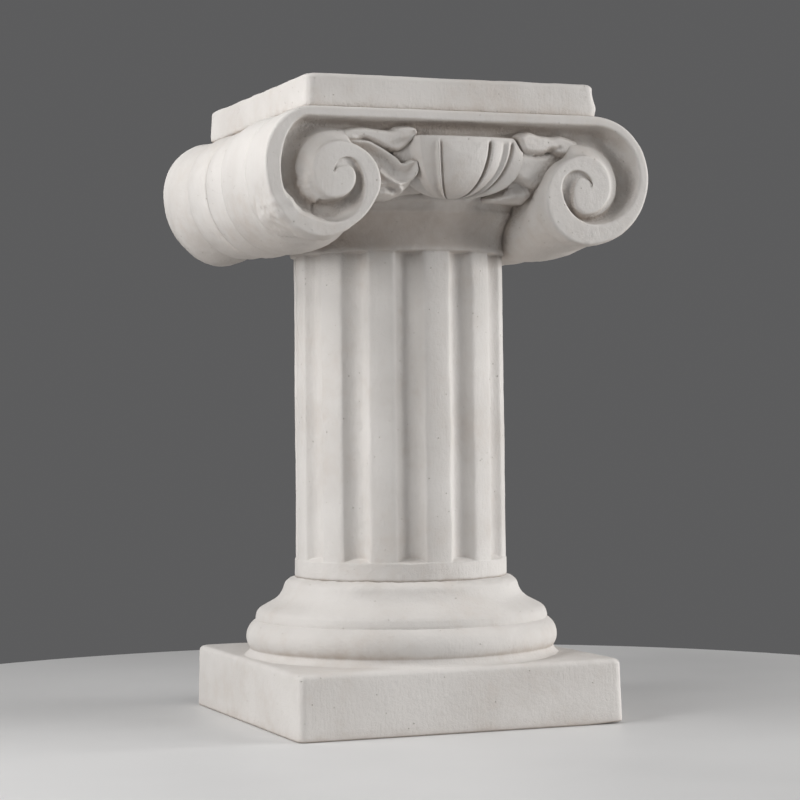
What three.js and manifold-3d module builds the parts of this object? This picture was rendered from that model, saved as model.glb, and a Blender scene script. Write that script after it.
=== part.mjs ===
// Small Ionic column, cast in plaster as one piece: a square plinth, a moulded round base, a shaft
// with twelve flutes, a flared neck, and a capital with a pair of scrolls on its front and back.
// Millimetres, +Z up. The origin is at the middle of the underside. The scrolled faces look along
// -Y and +Y, and the bolsters that join the scrolls run along Y on the two other sides.

import * as THREE from "three";
import { mergeVertices } from "three/addons/utils/BufferGeometryUtils.js";
import Module from "manifold-3d";

const wasm = await Module();
wasm.setup();

// ---- Driving dimensions ----

const HEIGHT = 420;
const ROUND_STEPS = 36; // sides of the turned parts

const PLINTH = { side: 225.2, topSide: 223.4, height: 42.3, cornerRadius: 2.5, edge: 2 };

const TORUS = { centreRadius: 93, centreHeight: 54.8, radius: 12.8, from: -66, to: 62, steps: 8 };
const BASE_BAND = { radius: 98.6, top: 72, ledge: 1.5 }; // upright band and the ledge inside its top
const BASE_HOLLOW = { radius: 79.2, top: 88.4, from: -98, to: -180, steps: 5 };
const BASE_LIP = { inset: 1, insetRise: 2, overhang: 4.2, rise: 4 }; // between the hollow and shaft
const SHAFT = { radius: 72, bottom: 95.6, top: 311 };

// A flute's section is an ellipse that stops a little short of the shaft's surface.
const FLUTES = {
  count: 12, halfAngle: 7.75, depth: 6.5, ellipse: 0.98, sillLow: 107, sillHigh: 111, across: 4,
};

const NECK_LIP = { overhang: 1.4, rise: 2 }; // where the neck stands out over the flutes
const NECK_CURVE = { out: 24, up: 2.5, radius: 22, from: 176, to: 118, steps: 4 };
const ECHINUS = { radius: 88, bottom: 341, innerRadius: 100, top: 384 };
const ECHINUS_CURVE = { up: 22, radius: 20, from: -50, to: 0, steps: 3 };

const FACE = 118; // distance of the scrolled faces from the middle
const CAPITAL_TOP = 397.5;
const SLAB_BOTTOM = 352; // underside of the body between the scrolls
const FACE_EDGE = 1.5; // rounding along the rim of the faces
const TURN = 4; // quarters in one turn

// Points where a scroll's edges run level or plumb, as [x, z], from the band on top of the face
// inwards: top, outer side, bottom, inner side, top again. Quarter ellipses join them.
const RIM_EDGE = [
  [93.5, CAPITAL_TOP], [133, 358], [87.3, 312.3], [57.5, 341.8], [87, 372],
  [105.7, 351.3], [86.4, 332], [77.2, 344], [83.3, 357], [91, 351],
];
const CHANNEL_EDGE = [[93.5, 390], [125, 358], [93.5, 327], [70.5, 350], [81, 360.5], [91, 351]];
const CHANNEL = { depth: 15.5, endDepth: 3, shallowFrom: 1.6, quarters: 4.97, edgeShare: 0.8 };
const CHANNEL_STEPS = 40;
const CHANNEL_LAP = 0.02; // how far past the middle each channel starts, in quarters
const RECESS = { depth: 25, rise: 4, bottom: 300 }; // between the scrolls, below the channel

const ROLL = { centreX: 90, centreZ: 354, steps: 7, quarters: 3.5 }; // steps in each quarter
const INNER_QUARTER = 3; // from here the roll is inside the body
// Dips of the bolster, the same on both sides of the middle: a wide waist and a narrow line.
const WAIST = { at: 71, width: 14, depth: 1.8 };
const LINE = { at: 18.5, width: 4, depth: 1.1 };
const DIP_FADE = [56, 80]; // the dips fade out between these distances from the middle
// The underside between the rims hangs lower: full between sagFull, none beyond sagEnd.
const SAG = { depth: 3.8, full: 60, end: 110, lowest: 313, highest: 335 };
const PAST_CUT = 2; // how far the cutters reach past the faces that they cut

const EGG_TOP = 380;
const EGG_BACK = 93; // distance of the egg's tip from the middle
// Half width, height and how far each shell stands out in front of the egg's tip.
const BOWL_SEGMENTS = [20, 10];
const SHELLS = [[43, 38, 21.5], [29, 38.2, 22.6], [17.5, 37.5, 24.5]];

// Lobes of the half palmette beside the left scroll: midrib as three [x, z] points, half width,
// half thickness and the distance of the midrib from the middle.
const LOBE_SEGMENTS = [8, 8];
const LOBES = [
  [[-90, 368], [-66, 384], [-29, 380], 7.6, 8, 107],
  [[-72, 374], [-50, 354], [-28, 358], 8, 8, 104],
  [[-62, 352], [-48, 343], [-26, 345], 5.5, 7, 98],
];

const ABACUS = { width: 203.2, depth: 211.2, bottom: 396.6, edge: 3 };

// ---- Solids ----

const WELD = 1e-4; // vertices closer than this are one
const PLINTH_OVERLAP = 4; // how far the turned base runs into the plinth

function signedVolume(position, index) {
  const [a, b, c] = [new THREE.Vector3(), new THREE.Vector3(), new THREE.Vector3()];
  let sum = 0;
  for (let i = 0; i < index.length; i += 3) {
    a.fromBufferAttribute(position, index[i]);
    b.fromBufferAttribute(position, index[i + 1]);
    c.fromBufferAttribute(position, index[i + 2]);
    sum += a.dot(b.cross(c));
  }
  return sum / 6;
}

// Closed solid of a geometry: vertices merged, collapsed triangles dropped, faces turned outwards.
function solidOf(geometry) {
  geometry.deleteAttribute("normal");
  geometry.deleteAttribute("uv");
  const merged = mergeVertices(geometry, WELD);
  const corners = [];
  for (let i = 0; i < merged.index.count; i += 3) {
    const [a, b, c] = [0, 1, 2].map((k) => merged.index.getX(i + k));
    if (a !== b && b !== c && c !== a) corners.push(a, b, c);
  }
  const inside = signedVolume(merged.attributes.position, corners) < 0;
  return new wasm.Manifold(new wasm.Mesh({
    numProp: 3,
    vertProperties: new Float32Array(merged.attributes.position.array),
    triVerts: new Uint32Array(inside ? corners.reverse() : corners),
  }));
}

function moveVertices(geometry, place) {
  const position = geometry.attributes.position;
  for (let i = 0; i < position.count; i += 1) {
    const [x, y, z] = place(position.getX(i), position.getY(i), position.getZ(i));
    position.setXYZ(i, x, y, z);
  }
  return geometry;
}

// A box of along x across x deep cells, bent by a function of three coordinates from 0 to 1.
function bentBox(along, across, deep, place) {
  const box = new THREE.BoxGeometry(1, 1, 1, along, across, deep);
  return solidOf(moveVertices(box, (x, y, z) => place(x + 0.5, y + 0.5, z + 0.5)));
}

function union(solids) {
  return solids.reduce((whole, piece) => whole.add(piece));
}

const mirrorX = ([x, z]) => [-x, z];
const turnedAbout = (solid) => solid.rotate([0, 0, 180]);
const degrees = (angle) => THREE.MathUtils.degToRad(angle);

// ---- Curves ----

// Points of a circular arc in a profile, angles in degrees from the outward direction upwards.
function arc(centreR, centreZ, { radius, from, to, steps }) {
  const points = [];
  for (let i = 0; i <= steps; i += 1) {
    const angle = degrees(from + ((to - from) * i) / steps);
    points.push([centreR + radius * Math.cos(angle), centreZ + radius * Math.sin(angle)]);
  }
  return points;
}

// Point of a scroll's edge after a number of quarters. Below zero it runs straight to the middle.
function scrollPoint(edge, quarters) {
  if (quarters < 0) return [edge[0][0] * (1 + quarters), edge[0][1]];
  const k = Math.min(Math.floor(quarters), edge.length - 2);
  const angle = (quarters - k) * (Math.PI / 2);
  const [[x0, z0], [x1, z1]] = [edge[k], edge[k + 1]];
  const startsLevel = k % 2 === 0;
  if (startsLevel) return [x0 + (x1 - x0) * Math.sin(angle), z1 + (z0 - z1) * Math.cos(angle)];
  return [x1 + (x0 - x1) * Math.cos(angle), z0 + (z1 - z0) * Math.sin(angle)];
}

function lathe(profile) {
  const points = profile.map(([r, z]) => new THREE.Vector2(r, z));
  const geometry = new THREE.LatheGeometry(points, ROUND_STEPS);
  return solidOf(geometry.rotateX(Math.PI / 2));
}

// Rounded slab standing on z = 0 in the middle, with rounded upper and lower edges.
function roundedSlab(width, depth, height, cornerRadius, edge) {
  const [w, d, r] = [width / 2 - edge, depth / 2 - edge, cornerRadius];
  const shape = new THREE.Shape();
  shape.moveTo(-w + r, -d);
  shape.lineTo(w - r, -d);
  shape.absarc(w - r, -d + r, r, -Math.PI / 2, 0);
  shape.absarc(w - r, d - r, r, 0, Math.PI / 2);
  shape.absarc(-w + r, d - r, r, Math.PI / 2, Math.PI);
  shape.absarc(-w + r, -d + r, r, Math.PI, Math.PI * 1.5);
  const bevel = { bevelEnabled: true, bevelThickness: edge, bevelSize: edge, bevelSegments: 2 };
  const geometry = new THREE.ExtrudeGeometry(shape, {
    depth: height - 2 * edge, steps: 1, curveSegments: 3, ...bevel,
  });
  return geometry.translate(0, 0, edge);
}

// ---- The parts of the casting ----

function plinth() {
  const slab = roundedSlab(PLINTH.side, PLINTH.side, PLINTH.height, PLINTH.cornerRadius, PLINTH.edge);
  const draft = 1 - PLINTH.topSide / PLINTH.side;
  return solidOf(moveVertices(slab, (x, y, z) => {
    const scale = 1 - (draft * z) / PLINTH.height;
    return [x * scale, y * scale, z];
  }));
}

// Base mouldings, plain shaft and neck in one turned profile.
function turnedBody() {
  const hollowRadius = BASE_BAND.radius - BASE_BAND.ledge - BASE_HOLLOW.radius;
  const insidePlinth = PLINTH.height - PLINTH_OVERLAP;
  return lathe([
    [0, insidePlinth],
    [TORUS.centreRadius + PLINTH_OVERLAP, insidePlinth],
    ...arc(TORUS.centreRadius, TORUS.centreHeight, TORUS),
    [BASE_BAND.radius, BASE_BAND.top],
    ...arc(BASE_HOLLOW.radius + hollowRadius, BASE_HOLLOW.top, { ...BASE_HOLLOW, radius: hollowRadius }),
    [BASE_HOLLOW.radius - BASE_LIP.inset, BASE_HOLLOW.top + BASE_LIP.insetRise],
    [SHAFT.radius + BASE_LIP.overhang, BASE_HOLLOW.top + BASE_LIP.rise],
    [SHAFT.radius, SHAFT.bottom],
    [SHAFT.radius, SHAFT.top],
    [SHAFT.radius + NECK_LIP.overhang, SHAFT.top + NECK_LIP.rise],
    ...arc(SHAFT.radius + NECK_CURVE.out, SHAFT.top + NECK_CURVE.up, NECK_CURVE),
    [ECHINUS.radius, ECHINUS.bottom],
    ...arc(ECHINUS.innerRadius - ECHINUS_CURVE.radius, ECHINUS.bottom + ECHINUS_CURVE.up, ECHINUS_CURVE),
    [ECHINUS.innerRadius, ECHINUS.top],
    [0, ECHINUS.top],
  ]);
}

// Cutter of one flute: hollow across, square at the top, with a sloping sill at the bottom.
function fluteCutter(middleAngle) {
  const outside = SHAFT.radius + PAST_CUT;
  const sillSlope = (FLUTES.sillHigh - FLUTES.sillLow) / FLUTES.depth;
  return bentBox(1, FLUTES.across, 1, (u, v, w) => {
    const across = 2 * v - 1;
    const hollow = FLUTES.depth * Math.sqrt(1 - across * across * FLUTES.ellipse);
    const radius = w < 0.5 ? SHAFT.radius - hollow : outside;
    const sill = FLUTES.sillLow + (SHAFT.radius - radius) * sillSlope;
    const angle = degrees(middleAngle + across * FLUTES.halfAngle);
    return [radius * Math.cos(angle), radius * Math.sin(angle), u < 0.5 ? sill : SHAFT.top];
  });
}

function flutes() {
  const pitch = 360 / FLUTES.count;
  const cutters = [];
  for (let i = 0; i < FLUTES.count; i += 1) cutters.push(fluteCutter((i + 0.5) * pitch));
  return union(cutters);
}

const isRim = (y) => Math.abs(y) > FACE - FACE_EDGE / 2;

// How far the bolster's surface lies inside the scroll's outline at a distance along Y.
function bolsterInset(y) {
  const dip = ({ at, width, depth }) => depth * Math.max(0, 1 - Math.abs(Math.abs(y) - at) / width);
  return (isRim(y) ? FACE_EDGE : 0) + dip(WAIST) + dip(LINE);
}

// How far the underside of the body hangs down between the rims.
function bolsterSag(y, z) {
  const { smoothstep } = THREE.MathUtils;
  const between = 1 - smoothstep(Math.abs(y), SAG.full, SAG.end);
  return SAG.depth * between * (1 - smoothstep(z, SAG.lowest, SAG.highest));
}

// Outline of one scroll's roll, from the middle of the top to the slab's underside.
function rollOutline() {
  const outline = [];
  for (let step = 0; step < ROLL.quarters * ROLL.steps; step += 1) {
    const point = scrollPoint(RIM_EDGE, step / ROLL.steps);
    if (step < INNER_QUARTER * ROLL.steps || point[1] < SLAB_BOTTOM) outline.push(point);
  }
  outline.push([outline.at(-1)[0], SLAB_BOTTOM]);
  return outline;
}

// Body of the capital: the outline of both scrolls and the slab between them, run from face to
// face, with the bolsters' waists and lines worked into it.
function capitalBody() {
  const half = rollOutline();
  const outline = [...half, ...half.map(mirrorX).reverse()];
  const shape = new THREE.Shape(outline.map(([x, z]) => new THREE.Vector2(x, z)));
  const dips = [LINE, WAIST].flatMap(({ at, width }) => [at - width, at, at + width]);
  const stations = [...dips, FACE - FACE_EDGE, FACE];
  const levels = [...stations.map((y) => -y).reverse(), 0, ...stations];
  const steps = levels.length - 1;
  const block = new THREE.ExtrudeGeometry(shape, { depth: steps, steps, bevelEnabled: false });
  return solidOf(moveVertices(block, (x, z, layer) => {
    const y = levels[Math.round(layer)];
    const centreX = Math.sign(x) * ROLL.centreX;
    const [dx, dz] = [x - centreX, z - ROLL.centreZ];
    const share = THREE.MathUtils.smoothstep(Math.abs(x), ...DIP_FADE);
    const scale = 1 - (share * bolsterInset(y)) / Math.hypot(dx, dz);
    const onTopEdge = isRim(y) && z > CAPITAL_TOP - FACE_EDGE;
    const drop = (onTopEdge ? FACE_EDGE * (1 - share) : 0) + bolsterSag(y, z);
    return [centreX + dx * scale, y, ROLL.centreZ + dz * scale - drop];
  }));
}

// Cutter of the channel that runs from the middle of a face into the eye of one scroll.
function channelCutter(mirror) {
  const { lerp, smoothstep } = THREE.MathUtils;
  const start = -1 - CHANNEL_LAP;
  const floorSteps = 3; // a raised side, the floor, a raised side
  return bentBox(CHANNEL_STEPS, floorSteps, 1, (u, v, w) => {
    const q = lerp(start, CHANNEL.quarters, u);
    const outer = scrollPoint(CHANNEL_EDGE, q);
    const ahead = scrollPoint(RIM_EDGE, Math.max(q, 0) + TURN);
    const inner = [ahead[0] * Math.min(1 + q, 1), ahead[1]];
    const run = smoothstep(q, CHANNEL.shallowFrom, CHANNEL.quarters);
    const depth = lerp(CHANNEL.depth, CHANNEL.endDepth, run);
    const onSide = v < 0.5 / floorSteps || v > 1 - 0.5 / floorSteps;
    const floor = -FACE + depth * (onSide ? CHANNEL.edgeShare : 1);
    const [x, z] = [0, 1].map((i) => lerp(outer[i], inner[i], v));
    return [mirror * x, w < 0.5 ? -FACE - PAST_CUT : floor, z];
  });
}

// Cutter of the recess between the scrolls: it follows their inner sides and is open below.
function recessCutter() {
  const steps = 8;
  const side = [[RIM_EDGE[TURN][0], RIM_EDGE[TURN][1] + RECESS.rise]];
  for (let step = 0; step <= steps; step += 1) side.push(scrollPoint(RIM_EDGE, TURN - step / steps));
  side.push([RIM_EDGE[INNER_QUARTER][0], RECESS.bottom]);
  return bentBox(side.length - 1, 1, 1, (u, v, w) => {
    const [x, z] = side[Math.round(u * (side.length - 1))];
    return [v < 0.5 ? -x : x, -FACE + (w < 0.5 ? -PAST_CUT : RECESS.depth), z];
  });
}

// Egg between its two shells: three nested half bowls hanging from one level top.
function eggAndShells() {
  const bowls = SHELLS.map(([halfWidth, height, reach]) => {
    const ball = new THREE.SphereGeometry(1, ...BOWL_SEGMENTS);
    return solidOf(moveVertices(ball, (x, y, z) => [
      x * halfWidth, -EGG_BACK + z * reach, EGG_TOP + y * height,
    ]));
  });
  const size = 4 * SHELLS[0][1]; // larger than the bowls each way
  const above = new THREE.BoxGeometry(size, size, size).translate(0, -EGG_BACK, EGG_TOP + size / 2);
  return union(bowls).subtract(solidOf(above));
}

// One lobe of a leaf: a flattened ball bent along its midrib.
function leafLobe([root, bend, tip, halfWidth, halfThickness, reach], mirror) {
  const corner = (p) => new THREE.Vector2(...p);
  const midrib = new THREE.QuadraticBezierCurve(corner(root), corner(bend), corner(tip));
  const ball = new THREE.SphereGeometry(1, ...LOBE_SEGMENTS).rotateZ(Math.PI / 2);
  return solidOf(moveVertices(ball, (along, across, out) => {
    const t = (along + 1) / 2;
    const spot = midrib.getPoint(t);
    const way = midrib.getTangent(t);
    const x = spot.x - way.y * across * halfWidth;
    const z = spot.y + way.x * across * halfWidth;
    return [mirror * x, -reach + out * halfThickness, z];
  }));
}

function faceCarving() {
  const lobes = [1, -1].flatMap((mirror) => LOBES.map((lobe) => leafLobe(lobe, mirror)));
  return union([eggAndShells(), ...lobes]);
}

function abacus() {
  const height = HEIGHT - ABACUS.bottom;
  const slab = roundedSlab(ABACUS.width, ABACUS.depth, height, ABACUS.edge, ABACUS.edge);
  return solidOf(slab.translate(0, 0, ABACUS.bottom));
}

function column() {
  const cuts = union([channelCutter(1), channelCutter(-1), recessCutter()]);
  const capital = capitalBody().subtract(cuts).subtract(turnedAbout(cuts));
  const shaft = turnedBody().subtract(flutes());
  const carving = faceCarving();
  return union([plinth(), shaft, capital, carving, turnedAbout(carving), abacus()]);
}

function meshOf(solid, name, material) {
  const { vertProperties, triVerts } = solid.getMesh();
  const geometry = new THREE.BufferGeometry();
  geometry.setAttribute("position", new THREE.BufferAttribute(vertProperties, 3));
  geometry.setIndex(new THREE.BufferAttribute(triVerts, 1));
  geometry.computeVertexNormals();
  const mesh = new THREE.Mesh(geometry, material);
  mesh.name = name;
  return mesh;
}

const plaster = new THREE.MeshStandardMaterial({ color: 0xe9e4dc, roughness: 0.85, metalness: 0 });

const object = new THREE.Group();
object.add(meshOf(column(), "ionic_column", plaster));

export default object;
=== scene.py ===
"""Short cast plaster column with an Ionic scroll capital, standing on its plinth.

Every surface is a grid of points worked out from two parameters: rings round the column's axis for
the turned parts, rounded squares for the plinth and abacus, and a rolled sheet for the scrolls.
Sizes are in the pattern's millimetres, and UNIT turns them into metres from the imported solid's box.
"""
import itertools
import math

import bmesh
import bpy
import numpy as np
from mathutils import Matrix, Vector


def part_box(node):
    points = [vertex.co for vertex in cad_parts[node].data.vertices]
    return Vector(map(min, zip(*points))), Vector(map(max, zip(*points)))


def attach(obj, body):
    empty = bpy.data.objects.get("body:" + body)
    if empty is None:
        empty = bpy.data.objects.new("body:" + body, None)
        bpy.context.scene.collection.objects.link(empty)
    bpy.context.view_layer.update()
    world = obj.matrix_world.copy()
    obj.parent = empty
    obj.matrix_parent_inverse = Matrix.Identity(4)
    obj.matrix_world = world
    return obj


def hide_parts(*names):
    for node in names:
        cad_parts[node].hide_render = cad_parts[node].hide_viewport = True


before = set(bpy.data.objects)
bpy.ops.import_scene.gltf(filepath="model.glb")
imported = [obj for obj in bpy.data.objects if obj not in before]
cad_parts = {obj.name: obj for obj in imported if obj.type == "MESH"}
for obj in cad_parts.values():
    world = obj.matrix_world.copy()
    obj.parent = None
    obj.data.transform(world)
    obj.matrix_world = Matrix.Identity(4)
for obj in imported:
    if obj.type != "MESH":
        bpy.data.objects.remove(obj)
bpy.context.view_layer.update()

NODE = "ionic_column"
BODY = "root"
LOW, HIGH = (np.array(corner, dtype=float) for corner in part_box(NODE))

PATTERN_HEIGHT = 420.0
UNIT = (HIGH[2] - LOW[2]) / PATTERN_HEIGHT
SKIN = 0.45  # how far the finished faces stay inside the solid's box, as room for casting lumps
WELD_GAP = 0.0003  # points of neighbouring grids that lie closer than this are one point
SHORTEST_EDGE = 0.0001

# plinth: half its width at the bottom and top, and the radii of its rounded edges
PLINTH_BOTTOM = 112.6
PLINTH_TOP = 111.7
PLINTH_HEIGHT = 42.3
PLINTH_CORNER = 5.2
PLINTH_EDGE = 3.6
PLINTH_FOOT_EDGE = 1.3
PLINTH_LIFT = 1.3  # how far the foot of the front right corner stands off the floor

# moulded base, as radii and heights
BASE_LOW = 41.2
BASE_CORE = 60.0  # radius inside which the base's two ends are flat
TORUS_CENTRE = (93.0, 54.8)
TORUS_RADIUS = 12.8
BASE_FILLET = [(109.0, 40.9), (107.6, 42.0), (105.6, 43.2), (104.1, 44.9), (103.4, 46.2)]
BASE_LINE = [
    (99.4, 67.2), (98.9, 69.7), (98.2, 71.6), (96.4, 73.6), (92.6, 75.8), (88.6, 77.9), (85.4, 79.9),
    (83.1, 82.0), (81.4, 84.4), (80.2, 87.0), (79.5, 89.2), (78.4, 91.2), (75.8, 93.0), (71.5, 94.6),
]

# shaft, neck and bowl of the capital
SHAFT_BOTTOM = 94.6
SHAFT_TOP = 311.0
SHAFT_RADIUS = 72.0
SHAFT_TOP_RADIUS = 71.5
SHAFT_SINK = 92.0  # height at which the shaft ends inside the base
SHAFT_CORE = 66.0
BOWL_TOP = 374.0
FLUTE_COUNT = 12
FLUTE_PITCH = 2.0 * math.pi / FLUTE_COUNT
FLUTE_HALF = 9.5
FLUTE_DEPTH = 7.4
# each flute's share of that depth, counted from the front round to the right
FLUTE_SHARES = np.array([1.0, 0.9, 1.0, 0.95, 1.05, 1.0, 0.9, 1.0, 1.05, 0.85, 0.82, 1.22])
ARRIS_SOFTNESS = 1.1
SILL_LOW = 106.4
SILL_HIGH = 109.6
SILL_SCOOP = 0.4
SOFT_CORNER = 0.006  # rounds the line where a flute's wall meets its ends
SILL_ROWS = (104.6, 110.6)  # between these heights the rings lie closer
CROWN_LENGTH = 1.6
CROWN_OVERLAP = 0.6
CROWN_ROWS = 308.6
NECK_LINE = [
    (72.8, 311.6), (73.3, 313.4), (73.5, 316.0), (74.4, 320.0), (76.2, 324.2), (80.2, 330.0),
    (83.6, 333.6), (85.6, 336.2), (86.3, 338.6), (87.4, 341.0), (89.0, 343.4), (90.0, 348.0),
    (90.0, 360.0), (89.0, 374.0),
]

# scrolls. A rim's or channel's edge is given by its highest, outermost, lowest and innermost points in
# turn, seen from the front, and then the same again for each further turn until both meet.
FACE = 118.0
RIGHT_RIM = [
    (93.5, 397.5), (133.0, 358.0), (87.3, 312.3), (57.5, 341.8), (87.0, 372.0),
    (105.7, 351.3), (86.4, 332.0), (77.2, 344.0), (83.3, 357.0), (91.0, 351.0),
]
RIGHT_CHANNEL = [
    (93.5, 390.0), (125.0, 358.0), (93.5, 327.0), (70.5, 350.0), (81.0, 360.5), (91.0, 351.0),
]
LEFT_RIM = [
    (100.0, 397.5), (133.0, 361.0), (95.0, 314.5), (55.0, 351.0), (83.5, 376.0),
    (101.8, 357.0), (88.6, 338.9), (71.9, 353.0), (78.0, 360.3), (86.8, 356.0),
]
LEFT_CHANNEL = [
    (103.0, 390.0), (121.5, 357.0), (88.5, 324.7), (66.7, 347.0), (78.5, 365.0), (86.8, 356.0),
]
RIGHT_DEPTHS = (15.5, 14.0, 8.5, 5.5, 3.2, 1.6)  # depth of the channel after each quarter turn
LEFT_DEPTHS = (15.5, 16.0, 13.0, 7.5, 2.0, 0.9)
FOOT_SHARE = 0.62  # of the channel's depth, at which its floor sweeps up into the next turn's wall
OUTER_EDGE = 2.6
INNER_EDGE = 2.2
FLARE_MOST = 7.6  # how far the wall's foot stands outside the rim, at first and at the hook
FLARE_LEAST = 0.9
FRONT_FOOT = 379.0  # height of the front channel's lower edge in the middle
FULL_TURN = 4  # quarters; the channel and the rim end after so many of them
CHANNEL_END = 5
RIM_END = 9
QUARTER_STEPS = 40
ROW_STEP = 1.15  # between the rows across the worn patch
ROW_GAP = 0.3  # rows along the bolster that lie closer than this are left out
ROLL_CENTRE = (90.0, 354.0)
END_LINE = 58.5
BACK_LINE = 22.0
MIDDLE_LINE = -17.0
FRONT_LINE = -73.0
CUTS = ((END_LINE, 2.2, 0.9), (BACK_LINE, 3.0, 0.8), (MIDDLE_LINE, 2.6, 0.75))  # place, depth and width
BOLSTER_LINE = [  # how far the skin is drawn in at each place from front to back
    (-118.0, 0.5), (-112.0, 0.2), (-104.0, 0.0), (-94.0, 0.1), (-86.0, 0.4), (-78.0, 1.1), (-72.0, 1.0),
    (-62.0, 0.0), (-45.0, -0.6), (-30.0, -0.1), (-20.0, 1.4), (-17.0, 2.6), (-14.0, 2.4), (-8.0, 1.2),
    (0.0, 0.4), (8.0, 0.5), (14.0, 1.5), (19.0, 3.0), (21.6, 3.8), (23.0, 3.5), (28.0, 1.6), (36.0, 0.5),
    (45.0, 0.1), (53.0, 0.5), (57.5, 1.6), (60.0, 3.2), (64.0, 4.6), (69.0, 5.0), (76.0, 3.6),
    (84.0, 1.6), (92.0, 0.3), (100.0, 0.0), (108.0, 0.2), (118.0, 0.9),
]

# worn patch beside the left rim: how far back it reaches (y) at each angle up from the lowest point
PATCH_CENTRE = (-95.0, 361.0)
PATCH_BACK = -76.0
PATCH_TURN = (-20.0, 0.0, 7.0, 15.0, 23.0, 31.0, 39.0, 48.0, 58.0, 64.0)
PATCH_EDGE = (-118.0, -112.0, -105.0, -95.0, -84.0, -80.0, -80.0, -82.0, -85.0, -96.0)
LEFT_SIDE = -60.0  # x beyond which a point belongs to the left scroll
SCUFF_PLACE = (-118.0, 333.0)
BLOB_PLACE = (-115.0, 336.5)

# abacus: half its width and its length, its underside, and how much each side leans in
ABACUS_X = 101.6
ABACUS_Y = 105.6
ABACUS_CORE = 390.5
ABACUS_TAPER = 0.8
ABACUS_EDGE = 3.2
ABACUS_CORNER = 6.6


# ---------------------------------------------------------------- curves and noise

def smoothstep(x, low, high):
    """0 below low, 1 above high, and 3t^2 - 2t^3 between them."""
    t = np.clip((x - low) / (high - low), 0.0, 1.0)
    return t * t * (3.0 - 2.0 * t)


def hump(x, centre, width):
    """A bell of height 1: e to the minus square of the distance in widths."""
    return np.exp(-(((x - centre) / width) ** 2))


def soft_floor(x, softness):
    """max(x, 0) with its corner rounded: half of x plus the root of x squared and softness squared."""
    return 0.5 * (x + np.sqrt(x * x + softness * softness))


def smooth_line(points, steps, closed=False):
    """A line through the points: each span is a cubic whose end slopes are half the step between
    the neighbours on both sides."""
    p = np.asarray(points, dtype=float)
    if closed:
        p = np.vstack([p[-1], p, p[0], p[1]])
    else:
        p = np.vstack([2 * p[0] - p[1], p, 2 * p[-1] - p[-2]])
    t = (np.arange(steps) / steps)[None, :, None]
    a, b, c, d = p[:-3, None], p[1:-2, None], p[2:-1, None], p[3:, None]
    bend = 2 * a - 5 * b + 4 * c - d
    twist = 3 * b - a - 3 * c + d
    spans = 0.5 * (2 * b + (c - a) * t + bend * t**2 + twist * t**3)
    line = spans.reshape(-1, p.shape[1])
    return line if closed else np.vstack([line, p[-2]])


def arc(centre, radius, start, end, steps):
    """Points on a circle from one angle to another, in degrees."""
    angle = np.radians(np.linspace(start, end, steps))
    return np.stack([centre[0] + radius * np.cos(angle), centre[1] + radius * np.sin(angle)], -1)


LATTICE = 32  # values along each side of the noise's lattice, which then repeats
NOISE_TABLE = np.random.default_rng(7).uniform(-1.0, 1.0, (LATTICE, LATTICE, LATTICE))


def noise(points, size, shift=0.0):
    """Smooth random heights from -1 to 1: random values on a cubic lattice with the given mesh size,
    blended between its corners with smoothstep weights."""
    place = np.asarray(points, dtype=float) / size + 64.0 + shift * np.array([1.0, 1.7, 2.3])
    cell = np.floor(place).astype(int)
    part = place - cell
    part = part * part * (3.0 - 2.0 * part)
    total = np.zeros(place.shape[:-1])
    for corner in itertools.product((0, 1), repeat=3):
        side = np.array(corner)
        weight = np.prod(np.where(side == 1, part, 1.0 - part), axis=-1)
        i, j, k = np.moveaxis((cell + side) % LATTICE, -1, 0)
        total += weight * NOISE_TABLE[i, j, k]
    return total


def casting_lumps(points):
    """How far the hand-cast surface stands in or out: wide waves, thumb-sized lumps and small ones."""
    return (
        0.26 * noise(points, 46.0)
        + 0.15 * noise(points, 17.0, 3.1)
        + 0.1 * noise(points, 6.5, 5.7)
        + 0.04 * noise(points, 2.6, 8.3)
    )


# ---------------------------------------------------------------- meshes

def grid_faces(rows, columns, closed=False, first=0):
    """Quads of a grid of rows by columns, numbered row by row from first. In a closed grid the last
    column meets the first."""
    r, c = np.meshgrid(np.arange(rows - 1), np.arange(columns if closed else columns - 1), indexing="ij")
    after = (c + 1) % columns
    quads = [r * columns + c, r * columns + after, (r + 1) * columns + after, (r + 1) * columns + c]
    return first + np.stack(quads, -1).reshape(-1, 4)


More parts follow.
